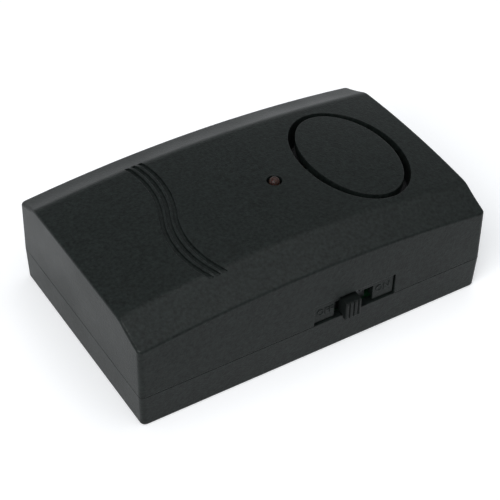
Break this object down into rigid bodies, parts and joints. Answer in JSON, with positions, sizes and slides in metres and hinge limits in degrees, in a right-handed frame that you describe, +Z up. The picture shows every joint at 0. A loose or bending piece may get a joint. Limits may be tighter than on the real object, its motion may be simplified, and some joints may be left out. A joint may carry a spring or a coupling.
{
  "type": "vibration alarm sensor",
  "caption": "Matt black battery-powered vibration alarm: arched two-part case with an oval siren slot, wavy grooves, a small red lamp and a slide switch in its front wall",
  "frame": {"origin": "middle of the underside of the case, on the surface that it lies on", "axes": "+X along the length towards the siren, -Y out of the face with the slide switch, +Z up through the arched cover"},
  "size_m": [0.1048, 0.0678, 0.0347],
  "materials": {
    "case_black": "matt black moulded plastic with a fine texture",
    "knob_black": "matt black moulded plastic",
    "lamp_red": "diffused dull red epoxy",
    "inner_plastic": "plain black moulding",
    "slider_plastic": "black acetal",
    "base_board": "brown pressed laminate",
    "circuit_board": "green solder mask over glass laminate",
    "tinned_wire": "tinned steel and copper",
    "zinc_steel": "zinc-plated steel",
    "frame_steel": "folded dull plated sheet",
    "brass_plate": "bare rolled brass",
    "ceramic_disc": "silvered ceramic, dull",
    "chip_epoxy": "black moulded epoxy",
    "ferrite": "dark sintered ferrite",
    "enamelled_copper": "enamelled copper wire",
    "capacitor_sleeve": "dark blue shrink sleeve",
    "resistor_coat": "tan lacquer",
    "spring_wire": "plated spring wire",
    "wire_sleeve": "soft sleeve",
    "battery_can": "plain dark painted steel",
    "cell_wrap": "dark waxed wrap",
    "battery_end": "black end plate",
    "terminal_metal": "nickel-plated steel"
  },
  "bodies": {
    "case": {"upper_shell": "case_black", "lower_shell": "case_black", "switch_frame": "frame_steel", "switch_base": "base_board", "circuit_board": "circuit_board", "led_lens": "lamp_red", "led_legs": "tinned_wire", "led_spacer": "inner_plastic", "chip_legs": "tinned_wire", "switch_legs": "tinned_wire", "coil_legs": "tinned_wire", "capacitor_legs": "tinned_wire", "transistor_legs": "tinned_wire", "chip_body": "chip_epoxy", "coil_core": "ferrite", "coil_winding": "enamelled_copper", "capacitor": "capacitor_sleeve", "driver_transistor": "chip_epoxy", "resistor_bodies": "resistor_coat", "resistor_wires": "tinned_wire", "sensor_base": "inner_plastic", "sensor_pin": "tinned_wire", "sensor_cover": "inner_plastic", "sensor_spring": "spring_wire", "siren_housing": "inner_plastic", "piezo_plate": "brass_plate", "piezo_ceramic": "ceramic_disc", "battery_leads": "wire_sleeve", "siren_wires": "wire_sleeve", "battery_can": "battery_can", "battery_end": "battery_end", "battery_cells": "cell_wrap", "battery_terminals": "terminal_metal", "snap_connector": "inner_plastic", "case_screws": "zinc_steel", "board_screws": "zinc_steel"},
    "knob": {"switch_knob": "knob_black", "switch_slider": "slider_plastic"},
    "door": {"battery_door": "case_black"}
  },
  "joints": [
    {"name": "switch_slide", "type": "slide", "parent": "case", "child": "knob", "axis": [1, 0, 0], "range_m": [0, 0.0024]},
    {"name": "battery_door_slide", "type": "slide", "parent": "case", "child": "door", "axis": [0, 1, 0], "range_m": [0, 0.03]}
  ]
}
